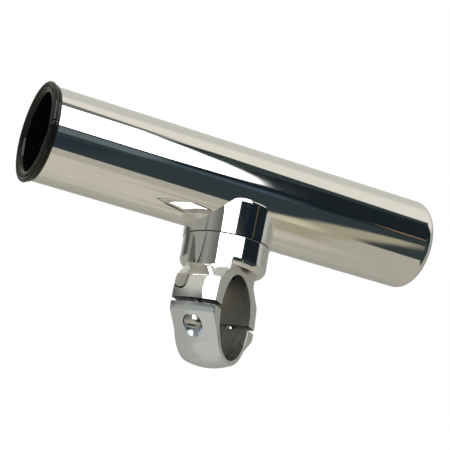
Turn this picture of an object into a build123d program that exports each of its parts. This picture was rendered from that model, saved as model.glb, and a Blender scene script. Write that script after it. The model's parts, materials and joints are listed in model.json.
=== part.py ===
"""Clamp-on rod holder.

A polished tube stands on a round hub. The hub's two halves meet in face teeth and turn about
the pivot axis. The lower half is one casting with the upper jaw of a split rail clamp.

Frame, in millimetres: the origin is the centre of the clamp's bore, +X runs along the bore,
and +Z runs up the pivot axis to the tube.
"""

from build123d import *

import os
from math import cos, radians, sin, sqrt, tan

# Rail clamp: both jaws are crowned, widest on the middle plane and slimmer at the end faces
BORE_R = 22.8
CLAMP_WIDTH = 24.8
SPLIT_GAP = 2.2
LUG_R = 35.0
LOWER_JAW_R = 27.8
CROWN = 2.5
JAW_EDGE_R = 0.9
BORE_CHAMFER = 0.5
LUG_BAND_Z = -5.5
LUG_FOOT_ANGLE = 37.7
LUG_FOOT_ANGLE_AT_END = 31.7
LUG_CREASE_R = 1.5
LUG_BLEND_R = 6.0
SHOULDER_Y = 32.4
SHOULDER_Z = 14.3
SHOULDER_CROWN = 1.4
SHOULDER_R = 2.5
SHOULDER_SLOPE = 39.0
JAW_FRONT_R = 55.0
JAW_TOP_Z = 24.0

# Clamp screws, M6
SCREW_Y = 27.5
SCREW_R = 3.0
SCREW_LENGTH = 16.0
SCREW_HEAD_R = 4.9
SCREW_HEAD_HEIGHT = 4.4
SCREW_DOME_R = 2.2
SCREW_SOCKET = 4.0
SCREW_SOCKET_DEPTH = 2.2
SCREW_SEAT_Z = -7.5
COUNTERBORE_R = 5.3
SCREW_HOLE_R = 3.3
TAPPED_TOP_Z = 12.8
THREAD_CLEARANCE = 0.05
SHANK_END_CHAMFER = 0.15

# Hub and pivot
PARTING_Z = 40.2
PARTING_GAP = 0.25
HUB_R = 23.5
HUB_BOTTOM_Z = 24.5
HUB_EDGE_R = 4.0
HUB_BLEND_R = 2.2
PARTING_EDGE_R = 0.4
SADDLE_R = 24.0
SADDLE_TOP_R = 25.0
SADDLE_TOP_Z = 60.9
SADDLE_TOP_ROUND = 2.2
SPIGOT_R = 9.0
SPIGOT_LENGTH = 4.7
SPIGOT_CLEARANCE = 0.05
POCKET_FLOOR_Z = 35.2

# Face teeth
TOOTH_COUNT = 24
TEETH_R_IN = 11.5
TEETH_R_OUT = 18.5
TEETH_POCKET_R = 19.2
TEETH_POCKET_DEPTH = 1.7
TOOTH_HEIGHT = 1.5
TOOTH_BASE_ANGLE = 8.6
TOOTH_TIP_ANGLE = 5.2
TOOTH_ROOT = 0.2

# Pivot bolt, M8 low head, and its washers
BOLT_R = 4.0
BOLT_LENGTH = 14.0
BOLT_HEAD_R = 6.5
BOLT_HEAD_HEIGHT = 5.0
BOLT_HEAD_EDGE_R = 0.8
BOLT_SOCKET = 5.0
BOLT_SOCKET_DEPTH = 2.8
BOLT_SEAT_Z = 32.2
BOLT_RECESS_R = 8.0
BOLT_HOLE_R = 4.3
TAPPED_TOP_PIVOT_Z = 43.7
FLAT_WASHER_R = 7.5
LOCK_WASHER_R = 7.1
WASHER_HOLE_R = 4.3
WASHER_THICKNESS = 1.6
LOCK_SPLIT_WIDTH = 1.0
LOCK_SPLIT_LENGTH = 6.4
LOCK_SPLIT_ANGLE = 25.0

# Rod tube
TUBE_R = 25.4
TUBE_WALL = 1.6
TUBE_Z = 69.7
TUBE_TURN = 45.0
MOUTH = -117.05
TAIL = 115.3
TAIL_ROUND = 6.5
TAIL_HOLE_R = 17.0

# Tube liner and gimbal pin
LINER_R = 23.7
LINER_WALL = 2.8
LINER_END = 88.0
FLANGE_THICKNESS = 4.6
LIP_FLARE_R = 2.4
LIP_EDGE_R = 0.8
FRONT_BEAD_R = 1.2
FRONT_BEAD_OUTER_R = 27.2
REAR_BEAD_R = 0.85
REAR_BEAD_OUTER_R = 26.2
NECK_R = 24.6
NECK_LENGTH = 0.5
NOTCH_WIDTH = 0.8
NOTCH_DEPTH = 1.6
PIN_POSITION = 98.0
PIN_R = 3.2

# How far from its nominal place an edge is still taken for that edge
CLEAR_OF_EDGE = 0.01

HALF_GAP = SPLIT_GAP / 2
HALF_WIDTH = CLAMP_WIDTH / 2
TUBE_BORE_R = TUBE_R - TUBE_WALL
BOLT_HEAD_TOP_Z = BOLT_SEAT_Z - 2 * WASHER_THICKNESS
SADDLE_BOTTOM_Z = PARTING_Z + PARTING_GAP
TUBE_START = MOUTH + FLANGE_THICKNESS

tube_centre = Vector(0, 0, TUBE_Z)
tube_direction = Vector(1, 0, 0).rotate(Axis.Z, TUBE_TURN)
tube_side = tube_direction.cross(Vector(0, 0, 1))
tube_axis = Axis(tube_centre, tube_direction)
tube_section = Plane(origin=tube_centre, x_dir=tube_direction, z_dir=tube_side)


def tube_cross_plane(distance):
    """A plane square to the tube, at a distance along it from the pivot axis."""
    return Plane(origin=tube_centre + tube_direction * distance, x_dir=tube_side, z_dir=tube_direction)


def save(builder, name):
    """Labels a finished piece and writes it as its own STEP file."""
    builder.part.label = name
    export_step(builder.part, f"parts/{name}.step")


def face_tooth():
    """One tooth, standing up from z = 0 on the X axis, narrower towards the pivot."""
    with BuildPart() as tooth:
        for radius in (TEETH_R_IN, TEETH_R_OUT):
            base = radius * tan(radians(TOOTH_BASE_ANGLE / 2))
            tip = radius * tan(radians(TOOTH_TIP_ANGLE / 2))
            with BuildSketch(Plane(origin=(radius, 0, 0), x_dir=(0, 1, 0), z_dir=(1, 0, 0))):
                with BuildLine():
                    Polyline((-base, -TOOTH_ROOT), (base, -TOOTH_ROOT), (base, 0), (tip, TOOTH_HEIGHT),
                             (-tip, TOOTH_HEIGHT), (-base, 0), close=True)
                make_face()
        loft()
    return tooth.part


def socket_screw(seat, shank_r, length, head_r, head_height, head_edge_r, socket, socket_depth):
    """A hexagon socket screw with its head below the seat point and its shank upwards."""
    head_end = Plane(origin=seat - Vector(0, 0, head_height))
    with BuildPart() as screw:
        with BuildSketch(Plane(origin=seat)):
            Circle(shank_r)
        extrude(amount=length)
        chamfer(screw.faces().sort_by(Axis.Z)[-1].edges(), length=shank_r * SHANK_END_CHAMFER)
        with BuildSketch(head_end):
            Circle(head_r)
        extrude(amount=head_height)
        fillet(screw.faces().sort_by(Axis.Z)[0].edges(), radius=head_edge_r)
        with BuildSketch(head_end):
            RegularPolygon(radius=socket / 2, side_count=6, major_radius=False)
        extrude(amount=socket_depth, mode=Mode.SUBTRACT)
    return screw


def runs_along_bore(edge):
    """True for the long edges of a jaw."""
    return abs(edge.tangent_at(0.5).X) > 0.9


def is_bore_rim(edge):
    """True for the round edges at the ends of a jaw's bore."""
    at_end = abs(abs(edge.center().X) - HALF_WIDTH) < CLEAR_OF_EDGE
    return edge.geom_type == GeomType.CIRCLE and at_end and abs(edge.radius - BORE_R) < CLEAR_OF_EDGE


def joins_hub_to_jaw(edge):
    """True for the inside corners where the jaw's shoulders meet the hub's wall."""
    middle = edge.position_at(0.5)
    on_hub_wall = abs(abs(middle.Y) - HUB_R) < JAW_EDGE_R
    above_shoulder = SHOULDER_Z + SHOULDER_R < middle.Z < JAW_TOP_Z
    return runs_along_bore(edge) and on_hub_wall and above_shoulder


os.makedirs("parts", exist_ok=True)
tooth = face_tooth()

# Rod tube: a drawn tube whose tail edge is rolled inwards
with BuildPart() as rod_tube:
    with BuildSketch(tube_section):
        with BuildLine():
            inner_round = TAIL_ROUND - TUBE_WALL
            bend = TAIL - TAIL_ROUND
            Polyline((TAIL - TUBE_WALL, TAIL_HOLE_R), (TAIL, TAIL_HOLE_R), (TAIL, TUBE_R - TAIL_ROUND))
            RadiusArc((TAIL, TUBE_R - TAIL_ROUND), (bend, TUBE_R), -TAIL_ROUND)
            Polyline((bend, TUBE_R), (TUBE_START, TUBE_R), (TUBE_START, TUBE_BORE_R), (bend, TUBE_BORE_R))
            RadiusArc((bend, TUBE_BORE_R), (TAIL - TUBE_WALL, TUBE_R - TAIL_ROUND), inner_round)
            Line((TAIL - TUBE_WALL, TUBE_R - TAIL_ROUND), (TAIL - TUBE_WALL, TAIL_HOLE_R))
        make_face()
    revolve(axis=tube_axis)
save(rod_tube, "rod_tube")

# Tube liner: a sleeve with a flange over the mouth. From the bore outwards and back, the flange
# has a flared lip, a groove, a front bead, a narrow rear bead and a neck that stands on the tube's
# end. Both beads are notched where the mould parts.
with BuildPart() as tube_liner:
    with BuildSketch(tube_section):
        bore_r = LINER_R - LINER_WALL
        flare_end = (MOUTH + LIP_FLARE_R, bore_r)
        lip_front = (MOUTH, bore_r + LIP_FLARE_R)
        lip_edge = (MOUTH + LIP_EDGE_R, bore_r + LIP_FLARE_R + LIP_EDGE_R)
        front_bead = (MOUTH + FRONT_BEAD_R, FRONT_BEAD_OUTER_R - FRONT_BEAD_R)
        rear_bead = (TUBE_START - NECK_LENGTH - REAR_BEAD_R, REAR_BEAD_OUTER_R - REAR_BEAD_R)
        with BuildLine():
            RadiusArc(lip_edge, lip_front, -LIP_EDGE_R)
            RadiusArc(lip_front, flare_end, -LIP_FLARE_R)
            Polyline(flare_end, (LINER_END, bore_r), (LINER_END, LINER_R), (TUBE_START, LINER_R),
                     (TUBE_START, NECK_R), (rear_bead[0], NECK_R), rear_bead, front_bead,
                     (front_bead[0], lip_edge[1]), lip_edge)
        make_face()
        with Locations(front_bead):
            Circle(FRONT_BEAD_R)
        with Locations(rear_bead):
            Circle(REAR_BEAD_R)
    revolve(axis=tube_axis)
    with BuildSketch(tube_cross_plane(TUBE_START)):
        with Locations((FRONT_BEAD_OUTER_R, 0)):
            Rectangle(2 * NOTCH_DEPTH, NOTCH_WIDTH)
    extrude(amount=-2 * FLANGE_THICKNESS, mode=Mode.SUBTRACT)
save(tube_liner, "tube_liner")

# Gimbal pin: crosses the tube level, its ends shaped to the tube's bore
with BuildPart() as gimbal_pin:
    with BuildSketch(Plane(origin=tube_centre + tube_direction * PIN_POSITION, z_dir=tube_side)):
        Circle(PIN_R)
    extrude(amount=TUBE_R, both=True)
    with BuildSketch(tube_cross_plane(PIN_POSITION)):
        Circle(TUBE_BORE_R)
    extrude(amount=2 * PIN_R, both=True, mode=Mode.INTERSECT)
save(gimbal_pin, "gimbal_pin")

# Saddle hub: upper half of the hub, hollowed to the tube, with a spigot and face teeth below
with BuildPart() as saddle_hub:
    with BuildSketch(Plane.XZ) as saddle_section:
        with BuildLine():
            Polyline((0, SADDLE_BOTTOM_Z), (SADDLE_R, SADDLE_BOTTOM_Z), (SADDLE_TOP_R, SADDLE_TOP_Z),
                     (0, SADDLE_TOP_Z), close=True)
        make_face()
        rim_corners = saddle_section.vertices().group_by(Axis.X)
        fillet(rim_corners[-1], radius=SADDLE_TOP_ROUND)
        fillet(rim_corners[-2], radius=PARTING_EDGE_R)
    revolve(axis=Axis.Z)
    with BuildSketch(tube_cross_plane(0)):
        Circle(TUBE_R)
    extrude(amount=2 * SADDLE_R, both=True, mode=Mode.SUBTRACT)
    with BuildSketch(Plane.XY.offset(PARTING_Z - SPIGOT_LENGTH)):
        Circle(SPIGOT_R)
    extrude(amount=SPIGOT_LENGTH + PARTING_GAP)
    with Locations(Location((0, 0, SADDLE_BOTTOM_Z), (180, 0, 180 / TOOTH_COUNT))):
        with PolarLocations(0, TOOTH_COUNT):
            add(tooth)
    with BuildSketch(Plane.XY.offset(PARTING_Z - SPIGOT_LENGTH)):
        Circle(BOLT_R + THREAD_CLEARANCE)
    extrude(amount=TAPPED_TOP_PIVOT_Z - PARTING_Z + SPIGOT_LENGTH, mode=Mode.SUBTRACT)
save(saddle_hub, "saddle_hub")

# Upper clamp: lower half of the hub and the upper jaw in one casting
with BuildPart() as clamp_upper:
    with BuildSketch(Plane.XY.offset(HUB_BOTTOM_Z)):
        Circle(HUB_R)
    extrude(amount=PARTING_Z - HUB_BOTTOM_Z)
    fillet(clamp_upper.faces().sort_by(Axis.Z)[0].edges(), radius=HUB_EDGE_R)
    fillet(clamp_upper.faces().sort_by(Axis.Z)[-1].edges(), radius=PARTING_EDGE_R)
    with BuildSketch(Plane.XY.offset(HALF_GAP)):
        Circle(HUB_R)
        Rectangle(CLAMP_WIDTH, 2 * HUB_R, mode=Mode.INTERSECT)
    extrude(amount=HUB_BOTTOM_Z + HUB_EDGE_R - HALF_GAP)
    for x, inset, shoulder_inset in (
            (-HALF_WIDTH, CROWN, SHOULDER_CROWN), (0, 0, 0), (HALF_WIDTH, CROWN, SHOULDER_CROWN)):
        lug_top = (-sqrt((LUG_R - inset) ** 2 - HALF_GAP**2), HALF_GAP)
        shoulder = (-SHOULDER_Y + shoulder_inset, SHOULDER_Z - shoulder_inset / 2)
        slope_top = (shoulder[0] + (JAW_TOP_Z - shoulder[1]) / tan(radians(SHOULDER_SLOPE)), JAW_TOP_Z)
        with BuildSketch(Plane.YZ.offset(x)):
            with BuildLine():
                RadiusArc(lug_top, shoulder, JAW_FRONT_R)
                Line(shoulder, slope_top)
                mirror(about=Plane.YZ)
                Line(slope_top, (-slope_top[0], slope_top[1]))
                Line(lug_top, (-lug_top[0], lug_top[1]))
            make_face()
    loft()
    shoulders = clamp_upper.edges().filter_by(runs_along_bore).filter_by(
        lambda edge: abs(edge.center().Z - SHOULDER_Z) < SHOULDER_CROWN)
    fillet(shoulders, radius=SHOULDER_R)
    end_faces = clamp_upper.faces().filter_by(Axis.X)
    outside = end_faces.edges().filter_by(
        lambda edge: HALF_GAP + JAW_EDGE_R < edge.center().Z < JAW_TOP_Z)
    fillet(outside, radius=JAW_EDGE_R)
    fillet(clamp_upper.edges().filter_by(joins_hub_to_jaw), radius=HUB_BLEND_R)
    with BuildSketch(Plane.YZ):
        Circle(BORE_R)
    extrude(amount=HALF_WIDTH, both=True, mode=Mode.SUBTRACT)
    chamfer(clamp_upper.edges().filter_by(is_bore_rim), length=BORE_CHAMFER)
    with BuildSketch(Plane.XY.offset(PARTING_Z - TEETH_POCKET_DEPTH)):
        Circle(TEETH_POCKET_R)
    extrude(amount=TEETH_POCKET_DEPTH, mode=Mode.SUBTRACT)
    with Locations((0, 0, PARTING_Z - TEETH_POCKET_DEPTH)):
        with PolarLocations(0, TOOTH_COUNT):
            add(tooth)
    with BuildSketch(Plane.XY.offset(POCKET_FLOOR_Z)):
        Circle(SPIGOT_R + SPIGOT_CLEARANCE)
    extrude(amount=PARTING_Z - POCKET_FLOOR_Z, mode=Mode.SUBTRACT)
    with BuildSketch(Plane.XY.offset(BOLT_SEAT_Z)):
        Circle(BOLT_RECESS_R)
    extrude(amount=-BOLT_SEAT_Z, mode=Mode.SUBTRACT)
    with BuildSketch(Plane.XY.offset(BOLT_SEAT_Z)):
        Circle(BOLT_HOLE_R)
    extrude(amount=POCKET_FLOOR_Z - BOLT_SEAT_Z, mode=Mode.SUBTRACT)
    with BuildSketch(Plane.XY):
        with Locations((0, -SCREW_Y), (0, SCREW_Y)):
            Circle(SCREW_R + THREAD_CLEARANCE)
    extrude(amount=TAPPED_TOP_Z, mode=Mode.SUBTRACT)
save(clamp_upper, "clamp_upper")

# Lower clamp: lower jaw, with a lug at each side for its screw
with BuildPart() as clamp_lower:
    for x, inset, foot_angle in (
            (-HALF_WIDTH, CROWN, LUG_FOOT_ANGLE_AT_END), (0, 0, LUG_FOOT_ANGLE),
            (HALF_WIDTH, CROWN, LUG_FOOT_ANGLE_AT_END)):
        lug_r = LUG_R - inset
        ring_r = LOWER_JAW_R - inset
        lug_top = (-sqrt(lug_r**2 - HALF_GAP**2), -HALF_GAP)
        crease = (-sqrt(lug_r**2 - LUG_BAND_Z**2), LUG_BAND_Z)
        foot = (-ring_r * cos(radians(foot_angle)), -ring_r * sin(radians(foot_angle)))
        with BuildSketch(Plane.YZ.offset(x)):
            with BuildLine():
                RadiusArc(lug_top, crease, -lug_r)
                Line(crease, foot)
                mirror(about=Plane.YZ)
                ThreePointArc(foot, (0, -ring_r), (-foot[0], foot[1]))
                Line(lug_top, (-lug_top[0], lug_top[1]))
            make_face()
    loft()
    length_edges = clamp_lower.edges().filter_by(runs_along_bore).group_by(Axis.Z)
    fillet(length_edges[1], radius=LUG_CREASE_R)
    length_edges = clamp_lower.edges().filter_by(runs_along_bore).group_by(Axis.Z)
    fillet(length_edges[0], radius=LUG_BLEND_R)
    end_faces = clamp_lower.faces().filter_by(Axis.X)
    outside = end_faces.edges().filter_by(lambda edge: edge.center().Z < -HALF_GAP - JAW_EDGE_R)
    fillet(outside, radius=JAW_EDGE_R)
    with BuildSketch(Plane.YZ):
        Circle(BORE_R)
    extrude(amount=HALF_WIDTH, both=True, mode=Mode.SUBTRACT)
    chamfer(clamp_lower.edges().filter_by(is_bore_rim), length=BORE_CHAMFER)
    with BuildSketch(Plane.XY.offset(-HALF_GAP)):
        with Locations((0, -SCREW_Y), (0, SCREW_Y)):
            Circle(SCREW_HOLE_R)
    extrude(amount=-LUG_R, mode=Mode.SUBTRACT)
    with BuildSketch(Plane.XY.offset(SCREW_SEAT_Z)):
        with Locations((0, -SCREW_Y), (0, SCREW_Y)):
            Circle(COUNTERBORE_R)
    extrude(amount=-LUG_R, mode=Mode.SUBTRACT)
save(clamp_lower, "clamp_lower")

# Clamp screws: raised socket heads below, shanks up into the upper jaw
for name, side in (("clamp_screw_front", -1), ("clamp_screw_rear", 1)):
    clamp_screw = socket_screw(
        seat=Vector(0, side * SCREW_Y, SCREW_SEAT_Z), shank_r=SCREW_R, length=SCREW_LENGTH,
        head_r=SCREW_HEAD_R, head_height=SCREW_HEAD_HEIGHT, head_edge_r=SCREW_DOME_R,
        socket=SCREW_SOCKET, socket_depth=SCREW_SOCKET_DEPTH)
    save(clamp_screw, name)

# Pivot bolt: its head hides above the bore, its shank runs up into the saddle's spigot
pivot_bolt = socket_screw(
    seat=Vector(0, 0, BOLT_HEAD_TOP_Z), shank_r=BOLT_R, length=BOLT_LENGTH,
    head_r=BOLT_HEAD_R, head_height=BOLT_HEAD_HEIGHT, head_edge_r=BOLT_HEAD_EDGE_R,
    socket=BOLT_SOCKET, socket_depth=BOLT_SOCKET_DEPTH)
save(pivot_bolt, "pivot_bolt")

# Flat washer against the casting
with BuildPart() as pivot_flat_washer:
    with BuildSketch(Plane.XY.offset(BOLT_SEAT_Z - WASHER_THICKNESS)):
        Circle(FLAT_WASHER_R)
        Circle(WASHER_HOLE_R, mode=Mode.SUBTRACT)
    extrude(amount=WASHER_THICKNESS)
save(pivot_flat_washer, "pivot_flat_washer")

# Lock washer between the flat washer and the bolt's head, cut through on a slant
with BuildPart() as pivot_lock_washer:
    with BuildSketch(Plane.XY.offset(BOLT_HEAD_TOP_Z)):
        Circle(LOCK_WASHER_R)
        Circle(WASHER_HOLE_R, mode=Mode.SUBTRACT)
    extrude(amount=WASHER_THICKNESS)
    slit_centre = Vector(0, 0, BOLT_HEAD_TOP_Z + WASHER_THICKNESS / 2)
    with BuildSketch(Plane(slit_centre, x_dir=(0, 1, 0), z_dir=(1, 0, 0))):
        Rectangle(LOCK_SPLIT_WIDTH, LOCK_SPLIT_LENGTH, rotation=LOCK_SPLIT_ANGLE)
    extrude(amount=LOCK_WASHER_R, mode=Mode.SUBTRACT)
save(pivot_lock_washer, "pivot_lock_washer")
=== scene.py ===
"""Studio scene for the clamp-on rod holder: polished metal, a black liner and soft cards."""

import json
import math

import bpy
import numpy as np
from mathutils import Matrix, Vector


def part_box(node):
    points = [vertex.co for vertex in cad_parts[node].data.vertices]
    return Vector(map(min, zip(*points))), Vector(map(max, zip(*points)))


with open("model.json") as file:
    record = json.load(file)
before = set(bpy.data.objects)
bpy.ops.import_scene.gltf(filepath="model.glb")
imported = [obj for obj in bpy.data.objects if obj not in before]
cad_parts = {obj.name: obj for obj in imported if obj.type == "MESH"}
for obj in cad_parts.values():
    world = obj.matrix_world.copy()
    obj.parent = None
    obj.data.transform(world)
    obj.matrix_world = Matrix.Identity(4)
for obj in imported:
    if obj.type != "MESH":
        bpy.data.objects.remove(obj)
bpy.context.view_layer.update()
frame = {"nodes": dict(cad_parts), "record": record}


# ---------------------------------------------------------------- helpers

def srgb(*values):
    """Linear colour from 0-255 sRGB values."""
    scaled = [v / 255 for v in values]
    return [c / 12.92 if c <= 0.04045 else ((c + 0.055) / 1.055) ** 2.4 for c in scaled]


class Nodes:
    """Short calls for building a material's node tree."""

    def __init__(self, name):
        self.material = bpy.data.materials.new(name)
        self.material.use_nodes = True
        self.tree = self.material.node_tree
        self.tree.nodes.clear()
        self.output = self.tree.nodes.new("ShaderNodeOutputMaterial")

    def add(self, kind, inputs=None, **settings):
        node = self.tree.nodes.new("ShaderNode" + kind)
        for key, value in settings.items():
            setattr(node, key, value)
        for key, value in (inputs or {}).items():
            if isinstance(value, bpy.types.NodeSocket):
                self.tree.links.new(value, node.inputs[key])
            else:
                node.inputs[key].default_value = value
        return node

    def object_position(self, scale):
        """Object coordinates in metres, stretched by scale on each axis."""
        place = self.add("TexCoord").outputs["Object"]
        return self.add("Mapping", {"Vector": place, "Scale": scale}).outputs["Vector"]

    def turned_position(self, turn, scale):
        """Object coordinates turned about Z, then stretched."""
        place = self.add("TexCoord").outputs["Object"]
        turned = self.add("Mapping", {"Vector": place, "Rotation": (0, 0, turn)}).outputs["Vector"]
        return self.add("Mapping", {"Vector": turned, "Scale": scale}).outputs["Vector"]

    def noise(self, vector, scale, detail=3.0, rough=0.5):
        return self.add("TexNoise", {"Vector": vector, "Scale": scale, "Detail": detail,
                                     "Roughness": rough}).outputs["Fac"]

    def ramp(self, value, low, high, out_low, out_high):
        return self.add("MapRange", {"Value": value, "From Min": low, "From Max": high,
                                     "To Min": out_low, "To Max": out_high}).outputs["Result"]

    def two_tone(self, value, dark, light):
        return self.blend(value, (*dark, 1), (*light, 1))

    def math(self, operation, *values):
        return self.add("Math", dict(enumerate(values)), operation=operation).outputs[0]

    def blend(self, factor, first, second):
        """The first colour where factor is 0 and the second where it is 1."""
        mix = self.add("Mix", {0: factor, 6: first, 7: second}, data_type="RGBA")
        return mix.outputs[2]

    def blend_value(self, factor, first, second):
        return self.add("Mix", {0: factor, 2: first, 3: second}, data_type="FLOAT").outputs[0]

    def bump(self, height, strength, distance, under=None):
        inputs = {"Height": height, "Strength": strength, "Distance": distance}
        if under is not None:
            inputs["Normal"] = under
        return self.add("Bump", inputs).outputs["Normal"]

    def metal(self, colour, roughness, normal):
        return self.finish(self.add("BsdfPrincipled", {"Base Color": colour, "Metallic": 1.0,
                                                       "Roughness": roughness, "Normal": normal}))

    def finish(self, shader):
        self.tree.links.new(shader.outputs[0], self.output.inputs["Surface"])
        return self.material


def steel_surface(n, tint, rough, grain_turn, grain_scale, wave, wave_scale):
    """Polished stainless steel: faint polishing lines, slight waviness and smears."""
    still = n.object_position((1, 1, 1))
    lines = n.noise(n.turned_position(grain_turn, grain_scale), 1.0, 4.0, 0.6)
    smears = n.noise(still, 38.0, 3.0, 0.55)
    finer = [stretch * SCRATCH_FINENESS for stretch in grain_scale]
    scratches = n.noise(n.turned_position(grain_turn + SCRATCH_TURN, finer), 1.0, 6.0, 0.7)
    worn = n.ramp(smears, 0.35, 0.7, rough * 0.6, rough * 1.5)
    lined = n.ramp(lines, 0.3, 0.75, 0.0, min(rough * 0.7, 0.04))
    roughness = n.math("ADD", worn, lined)
    colour = n.two_tone(n.ramp(smears, 0.3, 0.7, 0.0, 1.0), [c * 0.97 for c in tint], tint)
    waves = n.bump(n.noise(still, wave_scale, 1.0, 0.4), 1.0, wave)
    normal = n.bump(scratches, 1.0, wave * 0.01, waves)
    return colour, roughness, normal


def steel(name, *finish):
    """A steel material with one finish all over."""
    n = Nodes(name)
    colour, roughness, normal = steel_surface(n, *finish)
    return n.metal(colour, roughness, normal)


def clamp_steel(name, *finish):
    """Steel casting: machined bore and split faces coloured dark as painted shade, satin end faces, a
    polished band under the split.
    """
    n = Nodes(name)
    colour, roughness, normal = steel_surface(n, *finish)
    place = n.object_position((1, 1, 1))
    across = n.add("SeparateXYZ", {0: place}).outputs
    radial = n.add("VectorMath", {0: n.object_position((0, 1, 1))}, operation="LENGTH")
    # Where each finish and the painted shade of the bore and split faces lie, blended over a fraction of a
    # millimetre, and over 2 mm below the hub
    in_bore = n.ramp(radial.outputs["Value"], BORE_R + 0.0002, BORE_R + 0.0004, 1.0, 0.0)
    in_split = n.ramp(n.math("ABSOLUTE", across["Z"]), HALF_GAP + 0.00003, HALF_GAP + 0.00015, 1.0, 0.0)
    at_end = n.ramp(n.math("ABSOLUTE", across["X"]), HALF_WIDTH - 0.0004, HALF_WIDTH - 0.0002, 0.0, 1.0)
    below_hub = n.ramp(across["Z"], JAW_TOP_Z, JAW_TOP_Z + 0.002, 1.0, 0.0)
    satin = n.math("MULTIPLY", at_end, below_hub)
    above_band_edge = n.ramp(across["Z"], LUG_BAND_Z - 0.0002, LUG_BAND_Z + 0.0004, 0.0, 1.0)
    below_split = n.ramp(across["Z"], -0.0002, 0.0, 1.0, 0.0)
    in_band = n.math("MULTIPLY", above_band_edge, below_split)
    roughness = n.blend_value(in_band, roughness, n.math("MULTIPLY", roughness, BAND_POLISH))
    marks = n.noise(n.object_position((900, 160, 160)), 1.0, 3.0)
    colour = n.blend(satin, colour, n.two_tone(marks, (0.80, 0.79, 0.75), (0.88, 0.87, 0.83)))
    # Painted shade: the bore is coloured dark grey and the split faces near black, standing for the shade
    # inside the bore and in the gap between the jaws
    colour = n.blend(in_bore, colour, n.two_tone(marks, (0.20, 0.20, 0.19), (0.34, 0.34, 0.32)))
    colour = n.blend(in_split, colour, n.two_tone(marks, (0.04, 0.04, 0.038), (0.08, 0.08, 0.075)))
    roughness = n.blend_value(satin, roughness, n.ramp(marks, 0.3, 0.7, 0.26, 0.36))
    machined = n.math("MAXIMUM", in_bore, in_split)
    roughness = n.blend_value(machined, roughness, n.ramp(marks, 0.3, 0.7, 0.34, 0.5))
    return n.metal(colour, roughness, normal)


# ---------------------------------------------------------------- materials

# How much finer the scratches are than the polishing lines, and how far they are turned from them
SCRATCH_FINENESS = 1.7
SCRATCH_TURN = 0.4

TUBE_TURN = math.radians(45)
BORE_R = frame["record"]["mounts"][0]["dims"]["r_mm"] / 1000
HALF_WIDTH = float(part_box("clamp_lower")[1][0])
HALF_GAP = -float(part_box("clamp_lower")[1][2])
JAW_TOP_Z = 0.024

# The polished band at the top of the lower jaw: its lower edge, and its share of the usual roughness
LUG_BAND_Z = -0.0055
BAND_POLISH = 0.3

tube_metal = steel("tube_polished", (0.86, 0.86, 0.85), 0.03, -TUBE_TURN, (6, 260, 260), 3e-6, 60)
saddle_metal = steel("saddle_polished", (0.86, 0.86, 0.855), 0.035, 0, (160, 160, 30), 8e-6, 90)
hub_metal = clamp_steel("casting_polished", (0.86, 0.86, 0.855), 0.035, 0, (160, 160, 30), 1.2e-5, 90)
# The lower jaw's blue tint is a painted reflection of bluish surroundings, not a colour of the steel
jaw_metal = clamp_steel("jaw_satin", (0.80, 0.87, 0.95), 0.25, 0, (220, 220, 220), 2e-6, 60)
screw_metal = steel("screw_steel", (0.70, 0.685, 0.65), 0.2, 0, (300, 300, 300), 4e-6, 200)


def black_liner():
    """Glossy moulded black vinyl with faint flow marks."""
    n = Nodes("liner_black")
    broad = n.noise(n.object_position((1, 1, 1)), 55.0, 2.0)
    flow = n.noise(n.turned_position(-TUBE_TURN, (15, 60, 60)), 1.0, 1.0)
    tone = n.ramp(broad, 0.3, 0.7, 0.0, 1.0)
    colour = n.two_tone(tone, (0.0022, 0.0026, 0.0027), (0.0034, 0.0038, 0.0038))
    roughness = n.ramp(broad, 0.3, 0.7, 0.06, 0.10)
    normal = n.bump(flow, 1.0, 2.0e-5)
    return n.finish(n.add("BsdfPrincipled", {"Base Color": colour, "Roughness": roughness,
                                             "Normal": normal, "IOR": 1.40}))


liner_black = black_liner()

for node, material in (("rod_tube", tube_metal), ("saddle_hub", saddle_metal), ("clamp_upper", hub_metal),
                       ("clamp_lower", jaw_metal), ("clamp_screw_front", screw_metal),
                       ("clamp_screw_rear", screw_metal), ("gimbal_pin", screw_metal),
                       ("pivot_bolt", screw_metal), ("pivot_flat_washer", screw_metal),
                       ("pivot_lock_washer", screw_metal), ("tube_liner", liner_black)):
    for slot in frame["nodes"][node].material_slots:
        slot.material = material


# ---------------------------------------------------------------- studio

FLOOR_Z = -0.30
FLOOR_R = 3.9
DOME_R = 15.0
DOME_CENTRE_Z = 0.06

# The steel's share of reflected light, which the studio's light is divided by
REFLECTANCE = 0.86


def smooth(value, low, high):
    t = np.clip((value - low) / (high - low), 0, 1)
    return t * t * (3 - 2 * t)


def inside_shape(az, el, corners, edge):
    """1 inside the outline and 0 outside, blended over edge degrees. Corners are (azimuth, elevation)."""
    centre = sum(c[0] for c in corners) / len(corners)
    x, y = (az - centre + 180) % 360 - 180, el
    nearest = np.full(len(az), 1e9)
    within = np.zeros(len(az), bool)
    for (x0, y0), (x1, y1) in zip(corners, corners[1:] + corners[:1]):
        x0, x1 = x0 - centre, x1 - centre
        side_x, side_y = x1 - x0, y1 - y0
        along = ((x - x0) * side_x + (y - y0) * side_y) / (side_x ** 2 + side_y ** 2)
        along = np.clip(along, 0, 1)
        nearest = np.minimum(nearest, np.hypot(x - x0 - along * side_x, y - y0 - along * side_y))
        if y0 != y1:
            crossing = (y0 > y) != (y1 > y)
            within ^= crossing & (x < side_x * (y - y0) / side_y + x0)
    return smooth(np.where(within, nearest, -nearest), -edge / 2, edge / 2)


# Room walls seen level with the object: azimuth in degrees, then grey level. These greys and the
# cards' colours and outlines follow the photographed studio, read from its reflections in the metal.
WALLS = [(0, 140), (36, 146), (48, 168), (60, 178), (62, 60), (120, 60), (174, 96), (184, 104), (196, 122),
         (208, 144), (216, 127), (230, 116), (240, 96), (256, 92), (264, 140), (272, 118), (282, 72),
         (288, 76), (302, 140), (316, 186), (330, 220), (341, 174), (360, 140)]

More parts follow.
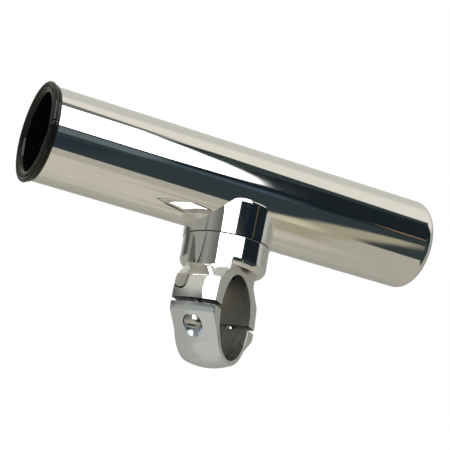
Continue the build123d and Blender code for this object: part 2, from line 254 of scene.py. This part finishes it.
# Cards and openings: corners in azimuth and elevation, sRGB colour, gain, soft edge in degrees
CARDS = [
    ("dark_room", [(62, 17), (62, -38), (120, -39), (133, -39), (133, 7), (119, 9), (112, 13), (110.5, 18),
                   (108.5, 28), (106.5, 37), (104, 46), (101, 54), (97, 58), (91, 58), (88, 44), (78, 30)],
     (47, 56, 58), 1, 1.6),
    ("dark_top", [(84, 74), (93, 71), (104, 62), (101, 56), (96, 57), (90, 62)], (106, 109, 105), 1, 3),
    ("dark_core", [(63, 17), (63, 5), (109, 3), (130, 4), (130, 8), (112, 12), (108, 28), (104, 42), (97, 44),
                   (90, 34), (76, 24)], (26, 33, 37), 1, 3),
    ("navy_panel", [(94, 14), (94, 8.5), (112, 8.5), (113, 9.8), (139, 9.8), (139, 12), (118, 12.5)],
     (20, 30, 38), 1, 0.8),
    ("blue_band", [(110, 7.5), (117, 6), (118.5, 1), (110, 0)], (62, 76, 86), 1, 3),
    ("blue_glow", [(115, 9.2), (121, 9.2), (121, -3), (116, -2)], (93, 104, 108), 1, 1.2),
    ("low_band", [(116.5, -8), (120, -12), (120, -38), (116, -37)], (38, 48, 54), 1, 2),
    ("brown_post", [(91, 13.5), (91, 7), (93.4, 7), (93.4, 13.5)], (100, 84, 62), 1, 0.8),
    ("orange_light", [(104.6, 8), (106.6, 8), (105.6, 4.6), (103.8, 4.6)], (122, 102, 76), 1, 0.8),
    ("cream_edge", [(104.4, -7), (105.5, -10), (106.2, -16), (106.3, -22), (105.2, -32), (101.3, -42),
                    (96, -49), (89, -55), (80, -60), (70, -61), (80, -57), (90, -51), (97, -41), (100.9, -33),
                    (102.6, -26), (103.4, -19)],
     (157, 151, 129), 1, 1.2),
    ("cream_glow", [(104.5, -32), (105, -36), (100, -45), (98, -43)], (194, 186, 162), 1, 2),
    ("pale_ground", [(92, -56), (100, -53), (180, -53), (180, -72), (92, -72)], (188, 182, 169), 1, 6),
    ("pale_side", [(325, -48), (359, -50), (359, -72), (325, -72)], (184, 179, 165), 1, 8),
    ("softbox", [(98, 58.5), (104, 61), (112, 62), (150, 64), (196, 62), (194, 45), (189, 30), (179, 15),
                 (176, 8), (142, 8.5), (138, 12.5), (115, 12.4), (112, 14.8), (110.3, 18), (108.5, 28),
                 (106.5, 37), (104, 46), (101, 54)], (255, 255, 253), 2.8, 0.8),
]


def studio_light(az, el):
    """Light from each direction, in linear colour."""
    low_room = np.array(srgb(155, 154, 145))
    ground = np.array(srgb(168, 163, 150))
    below = np.array(srgb(189, 183, 170))
    sky = np.array(srgb(191, 190, 181))
    warm_sky = np.array(srgb(220, 215, 203))
    level = np.interp(az, *zip(*WALLS))[:, None] / 255
    walls = (level ** 2.2) * np.array((1.0, 1.0, 0.93))
    towards_warm = smooth(np.abs((az - 70 + 180) % 360 - 180), 60, 20)[:, None]
    colours = low_room + (ground - low_room) * smooth(el, -20, -42)[:, None]
    colours = colours + (below - colours) * smooth(el, -60.5, -66)[:, None]
    colours = colours + (walls - colours) * smooth(el, -1, 6)[:, None]
    colours = colours + (sky + (warm_sky - sky) * towards_warm - colours) * smooth(el, 18, 34)[:, None]
    for name, corners, colour, gain, edge in CARDS:
        mask = inside_shape(az, el, corners, edge)[:, None]
        colours = colours * (1 - mask) + mask * np.array(srgb(*colour)) * gain
    return colours / REFLECTANCE


def studio_dome():
    """The cards and walls that the metal reflects, as one dome hidden from the camera."""
    rings, segments = 360, 720
    el = np.repeat(np.linspace(-90, 90, rings + 1), segments)
    az = np.tile(np.arange(segments) * 360 / segments, rings + 1)
    e, a = np.radians(el), np.radians(az)
    points = DOME_R * np.stack([np.sin(a) * np.cos(e), np.cos(a) * np.cos(e), np.sin(e)], 1)
    points[:, 2] += DOME_CENTRE_Z
    low = (np.arange(rings)[:, None] * segments + np.arange(segments)).ravel()
    low_next = (np.arange(rings)[:, None] * segments + (np.arange(segments) + 1) % segments).ravel()
    faces = np.stack([low, low + segments, low_next + segments, low_next], 1)
    mesh = bpy.data.meshes.new("studio_dome")
    mesh.from_pydata(points.tolist(), [], faces.tolist())
    layer = mesh.color_attributes.new("light", "FLOAT_COLOR", "POINT")
    colours = np.concatenate([studio_light(az, el), np.ones((len(az), 1))], 1)
    layer.data.foreach_set("color", colours.astype(np.float32).ravel())
    dome = bpy.data.objects.new("studio_dome", mesh)
    bpy.context.scene.collection.objects.link(dome)
    n = Nodes("studio_dome")
    tone = n.add("VertexColor", layer_name="light").outputs["Color"]
    mesh.materials.append(n.finish(n.add("Emission", {"Color": tone, "Strength": 1.0})))
    dome.visible_camera = False


studio_dome()


def floor():
    """A plain pale floor."""
    segments = 96
    turns = [math.tau * k / segments for k in range(segments)]
    ring = [(FLOOR_R * math.cos(turn), FLOOR_R * math.sin(turn), FLOOR_Z) for turn in turns]
    mesh = bpy.data.meshes.new("floor")
    mesh.from_pydata(ring, [], [tuple(range(segments))])
    obj = bpy.data.objects.new("floor", mesh)
    bpy.context.scene.collection.objects.link(obj)
    n = Nodes("floor_pale")
    cloud = n.noise(n.object_position((1, 1, 1)), 3.0, 3.0)
    tone = n.two_tone(cloud, (0.74, 0.735, 0.72), (0.78, 0.775, 0.76))
    mesh.materials.append(n.finish(n.add("BsdfPrincipled", {"Base Color": tone, "Roughness": 0.7})))
    obj.visible_glossy = False


floor()

world = bpy.data.worlds.new("studio_white")
world.use_nodes = True
world.node_tree.nodes["Background"].inputs["Color"].default_value = (1, 1, 1, 1)
world.node_tree.nodes["Background"].inputs["Strength"].default_value = 1.0
bpy.context.scene.world = world
bpy.context.scene.view_settings.view_transform = "Standard"


# ---------------------------------------------------------------- camera

CAMERA_AZ = math.radians(21.38)
CAMERA_EL = math.radians(-15.218)
CAMERA_ROLL = math.radians(9.945)
CAMERA_DISTANCE = 0.828156
CAMERA_TARGET = Vector((-0.002587, 0, 0.05083))
CAMERA_LENS = 122.28


def make_camera():
    back = Vector((math.sin(CAMERA_AZ) * math.cos(CAMERA_EL), -math.cos(CAMERA_AZ) * math.cos(CAMERA_EL),
                   math.sin(CAMERA_EL)))
    level = Vector((math.cos(CAMERA_AZ), math.sin(CAMERA_AZ), 0))
    upright = level.cross(-back)
    right = level * math.cos(CAMERA_ROLL) + upright * math.sin(CAMERA_ROLL)
    up = -level * math.sin(CAMERA_ROLL) + upright * math.cos(CAMERA_ROLL)
    data = bpy.data.cameras.new("camera")
    data.lens = CAMERA_LENS
    data.sensor_width = 36
    data.clip_start, data.clip_end = 0.01, 60
    camera = bpy.data.objects.new("camera", data)
    camera.matrix_world = Matrix.Translation(CAMERA_TARGET + back * CAMERA_DISTANCE) @ Matrix(
        (right, up, back)).transposed().to_4x4()
    bpy.context.scene.collection.objects.link(camera)
    bpy.context.scene.camera = camera


make_camera()
